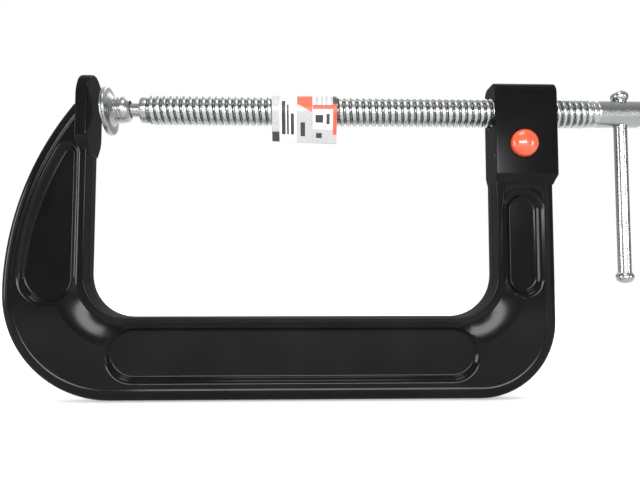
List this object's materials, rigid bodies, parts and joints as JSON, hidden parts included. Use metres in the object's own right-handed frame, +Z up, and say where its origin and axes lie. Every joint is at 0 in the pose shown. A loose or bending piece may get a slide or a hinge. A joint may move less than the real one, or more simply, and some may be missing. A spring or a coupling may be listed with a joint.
{
  "type": "c clamp",
  "caption": "Quick-release C clamp: cast C frame with fixed anvil, screw spindle with swivel pad and sliding T bar, and a push button in the head that frees the spindle.",
  "frame": {"origin": "centre of the anvil's clamping face, on the spindle's axis", "axes": "+X along the spindle from the anvil to the handle, +Z up from the rail to the spindle, -Y towards the push button's side"},
  "size_m": [0.3942, 0.0327, 0.1989],
  "materials": {
    "black_paint": "gloss black powder coat over cast iron",
    "zinc_plate": "bright zinc plate on turned and rolled steel",
    "plain_steel": "oiled plain steel, hidden in the head",
    "coral_button": "glossy orange-red moulded cap",
    "paper_band": "printed coated paper"
  },
  "bodies": {
    "frame": {"frame": "black_paint", "button_retaining_pin": "plain_steel", "return_spring": "plain_steel", "label_band": "paper_band"},
    "nose": {"nose_ball": "zinc_plate"},
    "spindle": {"spindle": "zinc_plate"},
    "bar": {"t_bar": "zinc_plate", "t_bar_knob_upper": "zinc_plate", "t_bar_knob_lower": "zinc_plate"},
    "pad": {"swivel_pad": "zinc_plate"},
    "button": {"release_button": "coral_button", "release_plunger": "plain_steel"},
    "nut": {"half_nut": "plain_steel"}
  },
  "joints": [
    {"name": "spindle_travel", "type": "slide", "parent": "frame", "child": "nose", "axis": [1, 0, 0], "range_m": [-0.0055, 0.2135], "deforming": ["label_band"]},
    {"name": "spindle_turn", "type": "hinge", "parent": "nose", "child": "spindle", "pos_m": [0.0165, 0, 0], "axis": [1, 0, 0], "range_deg": [-490, 19210]},
    {"name": "bar_slide", "type": "slide", "parent": "spindle", "child": "bar", "axis": [0, 0, 1], "range_m": [0, 0.092]},
    {"name": "pad_tilt", "type": "hinge", "parent": "nose", "child": "pad", "pos_m": [0.0165, 0, 0], "axis": [0, 1, 0], "range_deg": [0, 9.4]},
    {"name": "button_press", "type": "slide", "parent": "frame", "child": "button", "axis": [0, 1, 0], "range_m": [0, 0.003], "stiffness_N_per_m": 1500, "springref_m": -0.003, "deforming": ["return_spring"]},
    {"name": "half_nut_drop", "type": "slide", "parent": "frame", "child": "nut", "axis": [0, 0, 1], "range_m": [-0.0023, 0]}
  ],
  "couplings": [
    {"joint": "spindle_travel", "follows": "spindle_turn", "m_per_rad": 0.00063662},
    {"joint": "half_nut_drop", "follows": "button_press", "ratio": -0.75}
  ]
}
